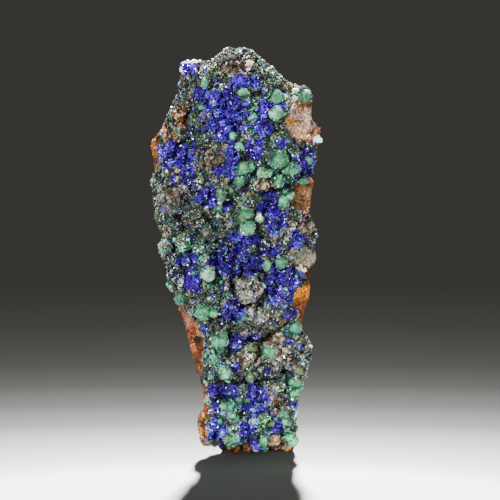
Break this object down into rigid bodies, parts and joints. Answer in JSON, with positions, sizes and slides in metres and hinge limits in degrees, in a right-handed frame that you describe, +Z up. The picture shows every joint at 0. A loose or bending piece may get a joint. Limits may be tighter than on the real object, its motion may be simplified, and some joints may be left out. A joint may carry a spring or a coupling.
{
  "type": "azurite specimen",
  "caption": "Upright mineral specimen: deep blue azurite crystals and green malachite balls in a druzy crust on brown limonite matrix",
  "frame": {"origin": "on the flat broken foot that the specimen stands on, below its middle", "axes": "+Z up along the length of the specimen, -Y out of the crystal-covered face, +X to the right of that face"},
  "size_m": [0.0418, 0.024, 0.1015],
  "materials": {
    "limonite": "dull earthy iron oxide, ochre to red-brown, broken and pitted",
    "azurite_malachite": "deep blue glassy azurite crystals, mint to dark green malachite balls and dark green-brown fine-grained druse"
  },
  "bodies": {
    "root": {"limonite_matrix": "limonite", "azurite_malachite_crust": "azurite_malachite"}
  },
  "joints": []
}
